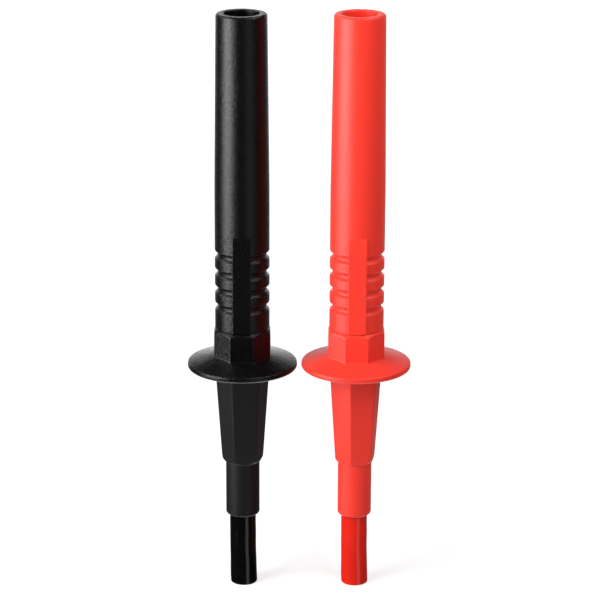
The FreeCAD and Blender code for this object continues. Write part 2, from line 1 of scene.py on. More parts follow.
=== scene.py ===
"""A pair of fused test probes, one black and one red, standing on their capped tips.

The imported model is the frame. The moulded pieces and the springs are modelled again here as
finer surfaces in the same places, and every other node keeps its shape and gets its finish.
Lengths in the classes are millimetres, and a mesh is written in metres.
"""

from __future__ import annotations

import logging
import math
from dataclasses import dataclass, field
from enum import Enum
from typing import Any, Sequence

import bpy
import numpy as np
from mathutils import Matrix, Vector

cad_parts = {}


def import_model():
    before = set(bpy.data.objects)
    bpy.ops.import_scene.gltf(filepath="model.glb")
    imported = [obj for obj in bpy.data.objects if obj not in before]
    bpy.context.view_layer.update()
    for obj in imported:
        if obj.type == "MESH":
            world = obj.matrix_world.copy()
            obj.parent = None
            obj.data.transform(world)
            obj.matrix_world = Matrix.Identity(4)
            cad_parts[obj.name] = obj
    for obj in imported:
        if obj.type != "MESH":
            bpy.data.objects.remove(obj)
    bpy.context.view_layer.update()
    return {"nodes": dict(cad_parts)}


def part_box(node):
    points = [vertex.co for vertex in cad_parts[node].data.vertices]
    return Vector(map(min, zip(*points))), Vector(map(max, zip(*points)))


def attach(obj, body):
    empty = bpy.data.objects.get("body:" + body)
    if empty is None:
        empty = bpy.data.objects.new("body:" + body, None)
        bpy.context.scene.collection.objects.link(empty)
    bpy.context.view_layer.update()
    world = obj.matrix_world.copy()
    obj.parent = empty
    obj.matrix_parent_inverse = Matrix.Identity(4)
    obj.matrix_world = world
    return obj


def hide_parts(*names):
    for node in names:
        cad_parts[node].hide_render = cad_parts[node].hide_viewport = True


LOG = logging.getLogger("test_probes")
MM = 0.001
WHITE = (1.0, 1.0, 1.0, 1.0)

# Edges that turn by more than this stay sharp in the shading.
SHARP_ANGLE = math.radians(38.0)
ARC_STEPS = 6
# How far beside an arc, in millimetres, a point keeps the straight stretch flat in the shading.
SUPPORT = 0.12
# Squared shares of the way along a small bend between two outlines, and the same from its end.
RISING = np.linspace(0.0, 1.0, 4)[:, None] ** 2
FALLING = RISING[::-1]
# Points of half a polygon's side and of half its corner, and the gap between them in corners.
SIDE_POINTS = 5
CORNER_POINTS = 7
CORNER_GAP = 1.5
# A height difference, in millimetres, that is too small to matter.
TINY = 0.001
# The value about which a noise swings.
NOISE_MIDDLE = 0.5

Colour = tuple[float, float, float]
Span = tuple[float, float]
Shares = tuple[float, ...]


class Side(Enum):
    """The two probes of the pair, by the start of their nodes' names."""

    BLACK = "black"
    RED = "red"

    def node(self, piece: str) -> str:
        """Name of one of this probe's nodes."""
        return f"{self.value}_{piece}"


class Metal(Enum):
    """The bare metals inside a probe, by the record's slot names."""

    BRASS = "brass"
    NICKEL = "nickel_plate"
    SPRING = "spring_steel"
    STAINLESS = "stainless_steel"
    WIRE = "fuse_wire"


# Surfaces


@dataclass(frozen=True)
class Corner:
    """A corner of a half-section: radius, height and the round on it."""

    radius: float
    height: float
    round: float = 0.0


@dataclass
class Surface:
    """A grid of points in millimetres that is closed round its columns.

    Args:
        points: Array of rows, columns and three coordinates.
        ring: Whether the last row joins the first one. If not, a point closes each end.
    """

    points: np.ndarray
    ring: bool = True

    def faces(self) -> list[np.ndarray]:
        """Quads between the rows, and triangles on the closed ends.

        Returns:
            Arrays of point numbers, one for each kind of face.
        """
        rows, columns = self.points.shape[:2]
        down = np.arange(rows if self.ring else rows - 1)[:, None]
        across = np.arange(columns)[None, :]
        below = (down + 1) % rows
        beside = (across + 1) % columns
        quads = np.stack([down * columns + across, down * columns + beside,
                          below * columns + beside, below * columns + across], axis=-1)
        found = [quads.reshape(-1, 4)]
        if not self.ring:
            here, beyond, last = across[0], beside[0], (rows - 1) * columns
            middle = np.full(columns, rows * columns)
            found += [np.stack([beyond, here, middle], axis=-1),
                      np.stack([last + here, last + beyond, middle + 1], axis=-1)]
        return found

    def vertices(self) -> np.ndarray:
        """All the points, with the middles of the closed ends last.

        Returns:
            Array of points in metres.
        """
        found = [self.points.reshape(-1, 3)]
        if not self.ring:
            found.append(self.points[[0, -1]].mean(axis=1))
        return np.concatenate(found) * MM


def outward(vertices: np.ndarray, faces: list[np.ndarray]) -> list[np.ndarray]:
    """Turn all faces round if the volume that they enclose comes out negative.

    Args:
        vertices: Points of a closed mesh.
        faces: Arrays of point numbers, one for each number of corners.

    Returns:
        The faces, all with their front outside.
    """
    volume = 0.0
    for group in faces:
        first, second = vertices[group[:, 0]], vertices[group[:, 1]]
        for corner in range(2, group.shape[1]):
            third = vertices[group[:, corner]]
            volume += float((first * np.cross(second, third)).sum())
            second = third
    return faces if volume > 0 else [group[:, ::-1] for group in faces]


def make_piece(name: str, surface: Surface) -> bpy.types.Object:
    """Write a surface into a smooth mesh whose sharp corners stay sharp.

    Args:
        name: Name of the new object.
        surface: The grid to write.

    Returns:
        The new object, at the origin.
    """
    vertices = surface.vertices()
    faces = outward(vertices, surface.faces())
    mesh = bpy.data.meshes.new(name)
    mesh.from_pydata(vertices, [], sum((group.tolist() for group in faces), []))
    mesh.validate()
    mesh.shade_smooth()
    mesh.set_sharp_from_angle(angle=SHARP_ANGLE)
    piece = bpy.data.objects.new(name, mesh)
    bpy.context.scene.collection.objects.link(piece)
    LOG.info("%s: %d faces", name, len(mesh.polygons))
    return piece


def rounded_path(corners: Sequence[Corner]) -> np.ndarray:
    """Points of a half-section, with an arc tangent to both sides at each rounded corner.

    A round of radius q at a corner that turns by t starts q tan(t/2) before it. A support
    point beside each end of the arc keeps the shading of the straight stretches flat.

    Args:
        corners: The corners in order, of which the first and the last are never rounded.

    Returns:
        Array of radius and height, one row for each point.
    """
    places = np.array([(corner.radius, corner.height) for corner in corners])
    found = []
    for index, corner in enumerate(corners):
        here = places[index]
        if corner.round <= 0 or index in (0, len(corners) - 1):
            found.append(here[None, :])
            continue
        into = here - places[index - 1]
        out = places[index + 1] - here
        into_length, out_length = np.linalg.norm(into), np.linalg.norm(out)
        into, out = into / into_length, out / out_length
        turn = math.acos(float(np.clip(into @ out, -1.0, 1.0)))
        reach = corner.round * math.tan(turn / 2)
        across = out - into * (into @ out)
        across = across / np.linalg.norm(across)
        centre = here - into * reach + across * corner.round
        angles = np.linspace(0.0, turn, ARC_STEPS + 1)[:, None]
        arc = centre + corner.round * (into * np.sin(angles) - across * np.cos(angles))
        if into_length > reach + 2 * SUPPORT:
            arc = np.vstack([here - into * (reach + SUPPORT), arc])
        if out_length > reach + 2 * SUPPORT:
            arc = np.vstack([arc, here + out * (reach + SUPPORT)])
        found.append(arc)
    return np.concatenate(found)


def polar_surface(bands: Sequence[Sequence[Any]], angles: np.ndarray, turn: float) -> Surface:
    """A closed surface from its distance to the axis: x = r cos(a + t), y = r sin(a + t).

    Args:
        bands: Pairs of radius and height, each a number, a column, or rows by angles.
        angles: Angles round the axis, as one row.
        turn: How far the surface is turned.

    Returns:
        The surface, whose last row joins the first one.
    """
    ones = np.ones_like(angles)
    radius, height = (np.concatenate([part * ones for part in parts]) for parts in zip(*bands))
    turned = angles + turn
    return Surface(np.stack([radius * np.cos(turned), radius * np.sin(turned), height], axis=-1))


@dataclass(frozen=True)
class Polygon:
    """A regular polygon with rounded corners, as distances from the axis along its own angles.

    Args:
        sides: How many sides there are.
        corner: Radius of the corners.
        corner_share: Share of a half side, at its end, that the round takes.
    """

    sides: int
    corner: float
    corner_share: float

    def angles(self) -> np.ndarray:
        """Angles round the polygon, wide apart along its sides and close together at its corners.

        Returns:
            One row of angles from the middle of the first side, all the way round.
        """
        along = np.linspace(0.0, 1.0 - self.corner_share * CORNER_GAP, SIDE_POINTS)
        around = np.linspace(1.0 - self.corner_share, 1.0, CORNER_POINTS)
        half = np.concatenate([along, around])
        share = np.concatenate([-half[::-1], half[1:-1]])
        middles = 2 * np.arange(self.sides)[:, None]
        return ((middles + share[None, :]) * math.pi / self.sides).reshape(1, -1)

    def reach(self, flats: np.ndarray | float) -> np.ndarray:
        """Distance from the axis to the outline, for a radius to the flats.

        Within a side, r = flats / cos a, with a from the side's middle. Past the side's end, r
        meets a circle of the corner's radius whose centre stands (flats - corner) / cos(pi/n) out.

        Args:
            flats: Radius to the flats, or one row for each height.

        Returns:
            Array of distances, rows by angles.
        """
        flats = np.atleast_2d(flats)
        half = math.pi / self.sides
        folded = np.abs((self.angles() + half) % (2 * half) - half)
        centre = (flats - self.corner) / math.cos(half)
        side_end = np.arctan((flats - self.corner) * math.tan(half) / flats)
        beyond = folded - half
        root = np.sqrt(np.maximum(self.corner**2 - (centre * np.sin(beyond)) ** 2, 0.0))
        return np.where(folded <= side_end, flats / np.cos(folded), centre * np.cos(beyond) + root)


def smooth_step(low: float, high: float, value: np.ndarray) -> np.ndarray:
    """Nought below low, one above high, and 3t^2 - 2t^3 between them."""
    share = np.clip((value - low) / (high - low), 0.0, 1.0)
    return share * share * (3 - 2 * share)


# Pieces


@dataclass(frozen=True)
class Handle:
    """Moulded handle: grooved grip with a strip front and back, and the rear shroud."""

    neck: float = 5.5
    neck_round: float = 0.15
    thread_bore: float = 4.75
    neck_foot: float = 56.55
    shoulder: float = 66.5
    barrel: float = 6.5
    groove_floor: float = 5.78
    first_groove: float = 71.9
    groove_pitch: float = 4.233
    groove_count: int = 4
    groove_mouth: float = 2.05
    groove_flat: float = 0.7
    floor_round: float = 0.3
    mouth_round: float = 0.2
    strip_half: float = 2.2
    strip_face: float = 6.6
    strip_end: float = 90.0
    strip_chamfer: float = 0.45
    strip_drop: float = 0.26
    strip_round: float = 0.18
    taper_foot: float = 101.0
    rear: float = 6.03
    rear_end: float = 142.2
    lip_round: float = 0.58
    shroud: float = 4.15
    mouth_inner_round: float = 0.32
    web_top: float = 114.0
    web_foot: float = 107.0
    web_round: float = 0.3
    web_hole: float = 1.62
    chamber: float = 3.5
    thread_end: float = 68.95
    face_points: int = 7
    turn_points: int = 6
    wall_shares: Shares = (0.35, 0.7, 1.0)
    root_shares: Shares = (0.012, 0.035, 0.08)
    barrel_start: float = 0.14
    barrel_points: int = 17

    def grip_path(self) -> np.ndarray:
        """Half-section of the neck and the grip, up to the strip's end.

        Returns:
            Array of radius and height.
        """
        corners = [Corner(self.thread_bore, self.neck_foot),
                   Corner(self.neck, self.neck_foot, self.neck_round),
                   Corner(self.neck, self.shoulder), Corner(self.barrel, self.shoulder)]
        for index in range(self.groove_count):
            middle = self.first_groove + index * self.groove_pitch
            mouth, flat = self.groove_mouth / 2, self.groove_flat / 2
            corners += [Corner(self.barrel, middle - mouth, self.mouth_round),
                        Corner(self.groove_floor, middle - flat, self.floor_round),
                        Corner(self.groove_floor, middle + flat, self.floor_round),
                        Corner(self.barrel, middle + mouth, self.mouth_round)]
        corners += [Corner(self.barrel, self.strip_end - self.strip_chamfer),
                    Corner(self.barrel, self.strip_end)]
        return rounded_path(corners)

    def rear_path(self) -> np.ndarray:
        """Half-section from the strip's end over the rim, and all the inside back to the neck.

        Returns:
            Array of radius and height.
        """
        corners = [Corner(self.barrel, self.strip_end), Corner(self.barrel, self.taper_foot),
                   Corner(self.rear, self.rear_end, self.lip_round),
                   Corner(self.shroud, self.rear_end, self.mouth_inner_round),
                   Corner(self.shroud, self.web_top, self.web_round),
                   Corner(self.web_hole, self.web_top),
                   Corner(self.web_hole, self.web_foot), Corner(self.chamber, self.web_foot),
                   Corner(self.chamber, self.thread_end), Corner(self.thread_bore, self.thread_end),
                   Corner(self.thread_bore, self.neck_foot + SUPPORT)]
        return rounded_path(corners)

    def quarter(self, path: np.ndarray, ribbed: bool) -> np.ndarray:
        """One quarter of each section, from a strip's middle to the side.

        With a strip, the points run along its flat face, round its edge, down its wall and
        round the barrel. Elsewhere they lie on a circle at matching angles.

        Args:
            path: Radius and height of each row.
            ribbed: Whether rows between the shoulder and the strip's end carry the strip.

        Returns:
            Array of rows, points and two coordinates: across, and out from the strip's middle.
        """
        radius, height = path[:, :1], path[:, 1:]
        face = np.linspace(0.0, 1.0, self.face_points)[None, :] * (self.strip_half - self.strip_round)
        turn = np.linspace(0.0, math.pi / 2, self.turn_points)[None, 1:]
        wall = np.array([self.wall_shares])
        round_barrel = np.array([[*self.root_shares,
                                  *np.linspace(self.barrel_start, 1.0, self.barrel_points)]])
        strip_points = face.shape[1] + turn.shape[1] + wall.shape[1]
        edge_angle = math.asin(self.strip_half / self.barrel)
        angles = np.hstack([np.linspace(0.0, edge_angle, strip_points)[None, :],
                            edge_angle + round_barrel * (math.pi / 2 - edge_angle)])
        plain = np.stack([radius * np.sin(angles), radius * np.cos(angles)], axis=-1)
        if not ribbed:
            return plain
        drop = np.clip((height - self.strip_end + self.strip_chamfer) / self.strip_chamfer, 0, 1)
        out = self.strip_face - self.strip_drop * drop
        barrel_edge = np.sqrt(np.maximum(radius**2 - self.strip_half**2, 0.0))
        turn_across = self.strip_half - self.strip_round * (1 - np.sin(turn))
        wall_across = np.full_like(wall, self.strip_half)
        across = np.hstack([face, turn_across, wall_across]) * np.ones_like(radius)
        low = out - self.strip_round
        outwards = np.hstack([out * np.ones_like(face), low + self.strip_round * np.cos(turn),
                              low + (barrel_edge - low) * wall])
        on_barrel = np.sqrt(np.maximum(radius**2 - across**2, 0.0))
        outwards = np.maximum(outwards, on_barrel)
        start = np.arcsin(np.clip(self.strip_half / radius, 0.0, 1.0))
        angle = start + round_barrel * (math.pi / 2 - start)
        strip = np.stack([np.hstack([across, radius * np.sin(angle)]),
                          np.hstack([outwards, radius * np.cos(angle)])], axis=-1)
        carries = (path[:, 0] > self.groove_floor - SUPPORT) & (path[:, 1] > self.shoulder - TINY)
        return np.where(carries[:, None, None], strip, plain)

    def surface(self) -> Surface:
        """The whole handle: four mirrored quarters of each section.

        Returns:
            One closed surface.
        """
        grip, rear = self.grip_path(), self.rear_path()
        quarters = np.concatenate([self.quarter(grip, True), self.quarter(rear, False)])
        across, out = quarters[..., 0], quarters[..., 1]
        first = across.shape[1] - 1
        x = np.hstack([across[:, :first], across[:, :0:-1], -across[:, :first], -across[:, :0:-1]])
        y = np.hstack([-out[:, :first], out[:, :0:-1], out[:, :first], -out[:, :0:-1]])
        z = np.concatenate([grip, rear])[:, 1:] * np.ones_like(x)
        return Surface(np.stack([x, y, z], axis=-1))


@dataclass(frozen=True)
class FingerGuard:
    """Round guard disc with an eight-sided collar, chamfered at its top corners."""

    bore: float = 5.55
    foot: float = 56.3
    rim: float = 13.15
    rim_top: float = 57.64
    rim_round: float = 0.42
    foot_round: float = 0.6
    cone_top: float = 59.4
    collar_foot: float = 6.725
    collar: float = 6.685
    collar_top: float = 66.5
    corner_round: float = 0.42
    fillet: float = 0.22
    fillet_rise: float = 1.3
    chamfer_start: float = 0.55
    edge_round: float = 0.16
    slant_share: float = 0.45
    top_ledge: float = 0.3
    sides: int = 8
    corner_share: float = 0.05
    slope_points: int = 12
    side_shares: Shares = (0.06, 0.5, 0.94)

    def cone(self, radius: np.ndarray) -> np.ndarray:
        """Height of the disc's sloping top at a radius."""
        share = (self.rim - radius) / (self.rim - self.collar_foot)
        return self.rim_top + (self.cone_top - self.rim_top) * share

    def surface(self) -> Surface:
        """The disc and the collar.

        The rows on the disc change from circles at the rim to the collar's outline at its
        foot, and all lie on one cone. The collar's top is cut by a cone of 45 degrees.

        Returns:
            One closed surface.
        """
        outline = Polygon(self.sides, self.corner_round, self.corner_share)
        disc = rounded_path([Corner(self.bore, self.foot), Corner(self.rim, self.foot, self.foot_round),
                             Corner(self.rim, self.rim_top, self.rim_round),
                             Corner(self.collar, self.cone_top)])[:-1]
        foot, top = outline.reach(self.collar_foot), outline.reach(self.collar)
        reach = disc[-1, 0]
        slope = reach + (foot + self.fillet - reach) * np.linspace(0.0, 1.0, self.slope_points)[1:, None]
        fillet_height = self.fillet * self.fillet_rise
        side_foot = self.cone(foot + self.fillet) + fillet_height
        inner = self.collar - self.chamfer_start
        side_top = self.collar_top - (top - inner) - self.edge_round
        share = np.array(self.side_shares)[:, None]
        slant = np.minimum(self.edge_round, self.slant_share * (top - inner))
        bore = rounded_path([Corner(inner - self.top_ledge, self.collar_top),
                             Corner(self.bore, self.collar_top), Corner(self.bore, self.foot + SUPPORT)])
        return polar_surface([
            np.hsplit(disc, 2),
            (slope, self.cone(slope)),
            (foot + self.fillet * FALLING[1:], side_foot - fillet_height * (1 - RISING[1:])),
            (foot + (top - foot) * share, side_foot + (side_top - side_foot) * share),
            (top - slant * RISING, side_top + self.edge_round * (1 - FALLING) + slant * RISING),
            (inner + slant * (FALLING - RISING), self.collar_top - slant * FALLING),
            np.hsplit(bore, 2),
        ], outline.angles(), -math.pi / 2)


@dataclass(frozen=True)
class Nose:
    """Screw-on nose: snout, hexagonal taper with a turned chamfer at its foot, and a thread."""

    turn_degrees: float
    cap_bore: float = 3.3
    cap_seat: float = 21.0
    snout: float = 4.09
    snout_foot: float = 18.4
    snout_round: float = 0.55
    hex_foot: float = 32.0
    hex_top: float = 56.25
    foot_flats: float = 4.36
    top_flats: float = 5.77
    corner_round: float = 0.6
    chamfer_slope: float = 0.96
    edge_round: float = 0.24
    edge_share: float = 0.57
    slant_share: float = 0.4
    top_round: float = 0.1
    spigot: float = 4.7
    spigot_top: float = 67.95
    spigot_lead: float = 0.5
    thread_pitch: float = 1.25
    thread_depth: float = 0.55
    thread_relief: float = 0.4
    thread_fullness: float = 0.72
    thread_rows: int = 150
    fuse_bore: float = 3.45
    contact_seat: float = 60.5
    stem_hole: float = 2.02
    stem_foot: float = 42.0
    needle_hole: float = 1.02
    sides: int = 6
    corner_share: float = 0.075
    side_shares: Shares = (0.02, 0.2, 0.4, 0.6, 0.8, 0.985)

    def thread(self, angles: np.ndarray) -> tuple[np.ndarray, np.ndarray]:
        """The spigot's right-hand thread.

        The radius follows a flattened wave of z/pitch - a/2pi, so that its crest climbs by one
        pitch in a turn, and the wave fades out at the shoulder and before the lead.

        Args:
            angles: Angles round the axis, as one row.

        Returns:
            Radius and height, rows by angles.
        """
        foot, top = self.hex_top + self.thread_relief, self.spigot_top - self.spigot_lead
        height = np.linspace(foot, top, self.thread_rows)[:, None] * np.ones_like(angles)
        phase = height / self.thread_pitch - angles / (2 * math.pi)
        wave = np.clip(0.5 + self.thread_fullness * np.cos(2 * math.pi * phase), 0.0, 1.0)
        fade = smooth_step(foot, foot + self.thread_pitch, height)
        fade *= 1 - smooth_step(top - self.thread_pitch / 2, top, height)
        return self.spigot - self.thread_depth * (1 - wave * fade), height

    def surface(self) -> Surface:
        """The nose, from the snout's mouth out, up to the thread and back through the bore.

        The hexagon's foot is cut by a cone, so its lower edge lies higher at the corners.

        Returns:
            One closed surface.
        """
        outline = Polygon(self.sides, self.corner_round, self.corner_share)
        snout = rounded_path([Corner(self.cap_bore, self.snout_foot + SUPPORT),
                              Corner(self.cap_bore, self.snout_foot),
                              Corner(self.snout, self.snout_foot, self.snout_round),
                              Corner(self.snout, self.hex_foot)])
        foot, top = outline.reach(self.foot_flats), outline.reach(self.top_flats)
        root, soft = self.spigot - self.thread_depth, self.edge_round
        ledge = self.foot_flats - soft
        cone_end = self.hex_foot + (foot - ledge) * self.chamfer_slope
        bend = soft * self.edge_share
        slant = np.minimum(soft, self.slant_share * (foot - ledge)) * self.edge_share
        share = np.array(self.side_shares)[:, None]
        height = cone_end + soft + (self.hex_top - cone_end - soft) * share
        along = (height - self.hex_foot) / (self.hex_top - self.hex_foot)
        flats = self.foot_flats + (self.top_flats - self.foot_flats) * along
        inside = rounded_path([
            Corner(root, self.spigot_top), Corner(self.fuse_bore, self.spigot_top),
            Corner(self.fuse_bore, self.contact_seat), Corner(self.stem_hole, self.contact_seat),
            Corner(self.stem_hole, self.stem_foot), Corner(self.needle_hole, self.stem_foot),
            Corner(self.needle_hole, self.cap_seat), Corner(self.cap_bore, self.cap_seat)])
        corner_to_front = math.pi / self.sides - math.pi / 2
        return polar_surface([
            np.hsplit(snout, 2),
            (ledge - soft * FALLING + bend * RISING, self.hex_foot + bend * self.chamfer_slope * RISING),
            (foot - slant * FALLING, cone_end - slant * self.chamfer_slope * FALLING + soft * RISING),
            (outline.reach(flats), height),
            (top, self.hex_top - self.top_round), (top - self.top_round, self.hex_top),
            (root, self.hex_top),
            self.thread(outline.angles()),
            np.hsplit(inside, 2),
        ], outline.angles(), corner_to_front + math.radians(self.turn_degrees))


@dataclass(frozen=True)
class TipCap:
    """Soft sleeve with a closed end, slightly bent and a little uneven, as soft vinyl is."""

    foot_radius: float = 3.27
    top_radius: float = 3.17
    snout_foot: float = 18.4
    top: float = 20.9
    end_round: float = 0.32
    end_hub: float = 0.4
    lip_round: float = 0.15
    bore: float = 1.12
    floor: float = 2.4
    floor_hub: float = 0.3
    side_foot: float = 1.6
    side_points: int = 26
    columns: int = 96
    bend: float = 0.24
    ripple: float = 0.022
    oval_twist: float = 0.55
    sway: float = 0.7
    sway_twist: float = 0.9
    sway_start: float = 1.0
    ripple_growth: float = 6.0

    def surface(self) -> Surface:
        """The sleeve, closed at both ends of its section by a point on the axis.

        Its axis leans by the square of the depth below the snout. Two slow waves along and
        round it draw its radius in, an oval one and one to a side, each twisting with height.

        Returns:
            One closed surface.
        """
        heights = np.linspace(self.side_foot, self.snout_foot, self.side_points)
        wide = self.foot_radius + (self.top_radius - self.foot_radius) * heights / self.snout_foot
        side = [Corner(float(radius), float(height)) for radius, height in zip(wide, heights)]
        path = rounded_path([Corner(self.end_hub, 0.0), Corner(self.foot_radius, 0.0, self.end_round),
                             *side, Corner(self.top_radius, self.top, self.lip_round),
                             Corner(self.bore, self.top), Corner(self.bore, self.floor),
                             Corner(self.floor_hub, self.floor)])
        angles = np.linspace(0.0, 2 * math.pi, self.columns, endpoint=False)[None, :]
        radius, height = path[:, :1], path[:, 1:]
        below = np.clip((self.snout_foot - height) / self.snout_foot, 0.0, 1.0)
        outer = (2 * radius > self.bore + self.foot_radius) & (height < self.snout_foot)
        waves = np.sin(2 * angles + self.oval_twist * height)
        waves = waves + self.sway * np.sin(angles - self.sway_twist * height + self.sway_start)
        growth = np.minimum(below * self.ripple_growth, 1)
        drawn = radius + np.where(outer, self.ripple * (waves - (1 + self.sway)) * growth, 0)
        lean = self.bend * below**2
        points = np.stack([drawn * np.cos(angles) + lean, drawn * np.sin(angles),
                           height * np.ones_like(angles)], axis=-1)
        return Surface(points, ring=False)


@dataclass(frozen=True)
class ContactSpring:
    """Helical spring whose end turns lie close together."""

    coil: float = 2.4
    wire: float = 0.34
    foot: float = 94.4
    top: float = 104.2
    turns: float = 6.5
    closing: float = 0.5
    rows: int = 420
    columns: int = 14

    def surface(self) -> Surface:
        """Round wire carried along the coil.

        The height rises as s - c sin(2 pi s) / 2 pi, which is slower at both ends. Across
        the wire, a point is out along the coil's radius and up square to the wire's run.

        Returns:
            One closed surface.
        """
        share = np.linspace(0.0, 1.0, self.rows)[:, None]
        turn = 2 * math.pi * self.turns * share
        rise = self.top - self.foot
        height = self.foot + rise * (share - self.closing * np.sin(2 * math.pi * share) / (2 * math.pi))
        slope = rise * (1 - self.closing * np.cos(2 * math.pi * share))
        slope = slope / (2 * math.pi * self.turns * self.coil)
        lean = np.arctan(slope)
        around = np.linspace(0.0, 2 * math.pi, self.columns, endpoint=False)[None, :]
        out, up = self.wire * np.cos(around), self.wire * np.sin(around)
        radius = self.coil + out
        aside = -up * np.sin(lean)
        x = radius * np.cos(turn) - aside * np.sin(turn)
        y = radius * np.sin(turn) + aside * np.cos(turn)
        z = height + up * np.cos(lean)
        return Surface(np.stack([x, y, z], axis=-1), ring=False)


# Finishes


class Term:
    """A node's output that takes part in sums: each operator adds the Math node it stands for."""

    def __init__(self, graph: Graph, socket: bpy.types.NodeSocket) -> None:
        """Wrap one output socket of a graph."""
        self.graph = graph
        self.socket = socket

    def _math(self, operation: str, first: Any, second: Any = None) -> Term:
        """Add a Math node for one or two values."""
        values = {0: first} if second is None else {0: first, 1: second}
        return self.graph.node("Math", {"operation": operation}, values)

    def __add__(self, other: Any) -> Term:
        """Sum, either way round."""
        return self._math("ADD", self, other)

    __radd__ = __add__

    def __sub__(self, other: Any) -> Term:
        """Difference."""
        return self._math("SUBTRACT", self, other)

    def __rsub__(self, other: Any) -> Term:
        """Difference, the other way round."""
        return self._math("SUBTRACT", other, self)

    def __mul__(self, other: Any) -> Term:
        """Product."""
        return self._math("MULTIPLY", self, other)

    def __truediv__(self, other: Any) -> Term:
        """Quotient."""
        return self._math("DIVIDE", self, other)

    def power(self, exponent: float) -> Term:
        """This value to a power."""
        return self._math("POWER", self, exponent)

    def step(self, low: float, high: float) -> Term:
        """Smooth step of this value from nought at low to one at high."""
        values = {"Value": self, "From Min": low, "From Max": high}
        return self.graph.node("MapRange", {"interpolation_type": "SMOOTHSTEP"}, values)

    def near(self, middle: float, span: Span) -> Term:
        """One where this value is at a middle, and nought where the square of its distance is large."""
        away = self - middle
        return 1 - (away * away).step(*span)


@dataclass(frozen=True)
class Noise:
    """A noise: how fine it is in a metre, its octaves, their roughness, and its scale by axis."""

    scale: float
    detail: float
    rough: float = 0.5
    axes: Sequence[float] = (1.0, 1.0, 1.0)


class Graph:
    """A node tree that is filled from an empty start."""

    def __init__(self, tree: bpy.types.NodeTree) -> None:
        """Empty the tree and keep it."""
        tree.nodes.clear()
        self.tree = tree

    def node(self, kind: str, settings: dict[str, Any] | None = None,
             values: dict[Any, Any] | None = None, output: int | str = 0) -> Term:
        """Add one node, with its settings first and then its inputs.

        Args:
            kind: The node's type, without the ShaderNode that it starts with.
            settings: Attributes of the node.
            values: Numbers, colours or terms by the input's name or number.
            output: Which output the returned term stands for.

        Returns:
            The chosen output.
        """
        made = self.tree.nodes.new(f"ShaderNode{kind}")
        for name, value in (settings or {}).items():
            setattr(made, name, value)
        for name, value in (values or {}).items():
            if isinstance(value, Term):
                self.tree.links.new(value.socket, made.inputs[name])
            else:
                made.inputs[name].default_value = value
        return Term(self, made.outputs[output] if made.outputs else None)

    def place(self, scale: Sequence[float] = (1.0, 1.0, 1.0)) -> Term:
        """Object coordinates in metres, stretched by a scale."""
        coordinates = self.node("TexCoord", output="Object")
        return self.node("Mapping", {}, {"Vector": coordinates, "Scale": tuple(scale)})

    def noise(self, noise: Noise) -> Term:
        """Noise from nought to one."""
        values = {"Scale": noise.scale, "Detail": noise.detail, "Roughness": noise.rough}
        return self.node("TexNoise", {}, {"Vector": self.place(noise.axes), **values})

    def bump(self, height: Term, depth: float) -> Term:
        """Normal of a height map whose full range is a depth in metres."""
        values = {"Height": height, "Distance": depth, "Strength": 1.0}
        return self.node("Bump", {}, values, "Normal")

    def blend(self, factor: Term, first: Colour, second: Colour) -> Term:
        """Colour between two colours."""
        values = {0: factor, 6: (*first, 1.0), 7: (*second, 1.0)}
        return self.node("Mix", {"data_type": "RGBA"}, values, 2)


def new_material(name: str) -> tuple[bpy.types.Material, Graph]:
    """Make an empty material.

    Args:
        name: Its name.

    Returns:
        The material and its graph.
    """
    material = bpy.data.materials.new(name)
    material.use_nodes = True
    return material, Graph(material.node_tree)


def close_material(graph: Graph, values: dict[str, Any]) -> None:
    """Join a principled shader with the given values to the material's output."""
    shader = graph.node("BsdfPrincipled", {}, values)
    graph.node("OutputMaterial", {}, {"Surface": shader})


@dataclass(frozen=True)
class MouldedPlastic:
    """Hard moulding with a fine spark grain in its surface."""

    slot: str
    colour: Colour
    worn: Colour
    roughness: float
    nose_roughness: float
    grain_depth: float
    gloss_index: float
    sheen: float = 0.0
    sheen_roughness: float = 0.4
    drift: Noise = Noise(60.0, 3.0)
    drift_span: Span = (0.3, 0.75)
    coarse: Noise = Noise(4200.0, 2.0, 0.6)
    coarse_share: float = 0.7
    coarse_gloss: float = 0.12
    fine: Noise = Noise(9000.0, 1.0)
    fine_share: float = 0.3
    smear: Noise = Noise(420.0, 4.0, 0.6, (1.0, 1.0, 0.6))
    smear_gloss: float = 0.08
    guard_foot: Span = (0.05625, 0.0563)

    def make(self) -> bpy.types.Material:
        """Base colour that drifts a little, grain from two sizes of noise, and faint handling marks.

        The nose's mould is rougher than the handle's, so the roughness steps at the guard's foot.

        Returns:
            The material.
        """
        material, graph = new_material(self.slot)
        drift, smear = graph.noise(self.drift), graph.noise(self.smear)
        coarse, fine = graph.noise(self.coarse), graph.noise(self.fine)
        height = graph.node("SeparateXYZ", {}, {"Vector": graph.place()}, "Z")
        handle = height.step(*self.guard_foot)
        rough = self.nose_roughness + handle * (self.roughness - self.nose_roughness)
        rough = rough + (smear - NOISE_MIDDLE) * self.smear_gloss
        grain = coarse * self.coarse_share + fine * self.fine_share
        close_material(graph, {
            "Base Color": graph.blend(drift.step(*self.drift_span), self.colour, self.worn),
            "Roughness": rough + (coarse - NOISE_MIDDLE) * self.coarse_gloss,
            "IOR": self.gloss_index,
            "Sheen Weight": self.sheen,
            "Sheen Roughness": self.sheen_roughness,
            "Normal": graph.bump(grain, self.grain_depth),
        })
        return material


